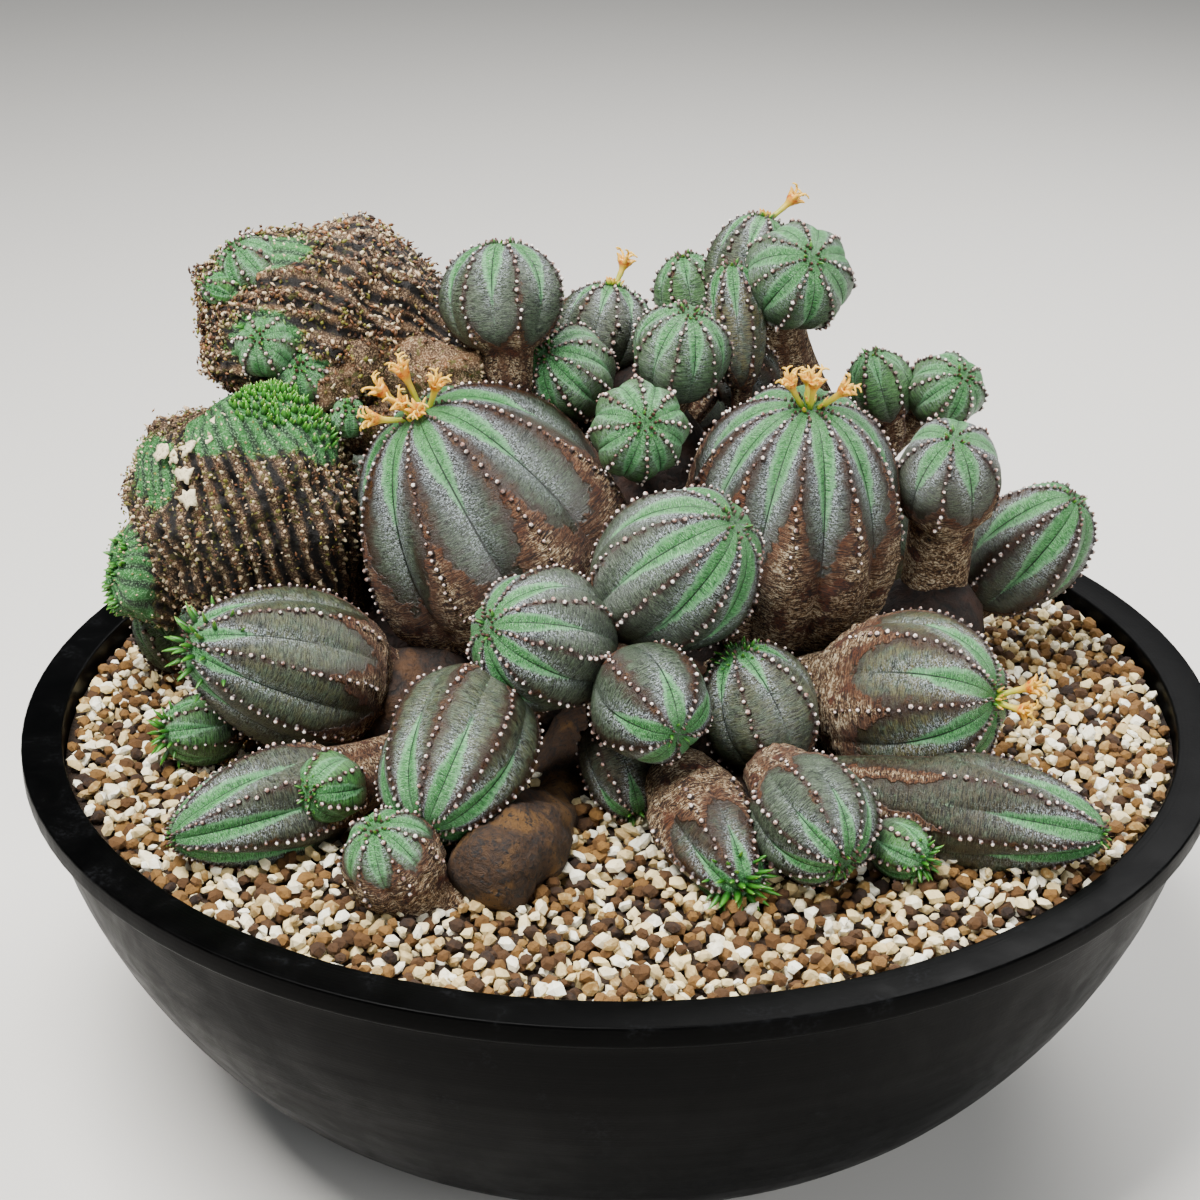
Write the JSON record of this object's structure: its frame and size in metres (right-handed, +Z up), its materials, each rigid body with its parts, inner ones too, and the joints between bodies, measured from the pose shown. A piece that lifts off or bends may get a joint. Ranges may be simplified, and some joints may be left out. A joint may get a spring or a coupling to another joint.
{
  "type": "potted clump of ribbed globular euphorbia",
  "caption": "Shallow round bowl of mixed grit holding a mounded clump of ribbed globular succulent stems with two crested stems and small flowers.",
  "frame": {"origin": "centre of the underside of the bowl's foot ring, which is the middle of the bounding box in plan", "axes": "+Z up, +X to the right and -Y towards the viewer as the picture shows the plant"},
  "size_m": [0.3, 0.3, 0.2178],
  "materials": {
    "bowl": "moulded satin black, dusted and lightly scuffed",
    "grit": "dry mineral grit of cream, tan and brown grains",
    "bark": "corky brown bark with pale flecks",
    "stem_skin": "waxy green and purple skin with rows of tubercles",
    "crested_skin": "scaly brown and cream skin with green growth",
    "flower": "soft fleshy yellow"
  },
  "bodies": {
    "root": {"stem_old_left": "stem_skin", "stem_old_right": "stem_skin", "trunk": "bark", "crest_lower": "crested_skin", "crest_upper": "crested_skin", "crest_lobe": "crested_skin", "stem_front_centre": "stem_skin", "stem_front_centre_left": "stem_skin", "stem_front_low": "stem_skin", "stem_front_shaded": "stem_skin", "stem_mid_right": "stem_skin", "stem_right_large": "stem_skin", "stem_left_large": "stem_skin", "stem_front_left": "stem_skin", "stem_front_left_low": "stem_skin", "stem_left_bud": "stem_skin", "stem_left_lying": "stem_skin", "stem_far_left_bud": "stem_skin", "stem_far_left_rear": "stem_skin", "stem_right_low": "stem_skin", "stem_centre_lying": "stem_skin", "stem_right_bud": "stem_skin", "stem_right_lying": "stem_skin", "stem_right_stalked": "stem_skin", "stem_far_right": "stem_skin", "stem_top_left": "stem_skin", "stem_top_inner_left": "stem_skin", "stem_top_centre": "stem_skin", "stem_top_inner_right": "stem_skin", "stem_top_rear": "stem_skin", "stem_top_right": "stem_skin", "stem_top_right_rear": "stem_skin", "stem_top_column": "stem_skin", "stem_top_rear_left": "stem_skin", "stem_top_small": "stem_skin", "stem_rear_right_inner": "stem_skin", "stem_rear_right_outer": "stem_skin", "stem_back_left": "stem_skin", "stem_back_centre": "stem_skin", "stem_back_right": "stem_skin", "stem_back_far_right": "stem_skin", "stem_back_upper": "stem_skin", "stem_back_upper_right": "stem_skin", "stem_back_low_left": "stem_skin", "flowers_old_left": "flower", "flowers_old_right": "flower", "flowers_right_large": "flower", "flowers_top_right": "flower", "flowers_top_rear": "flower", "bowl": "bowl", "grit": "grit"}
  },
  "joints": []
}
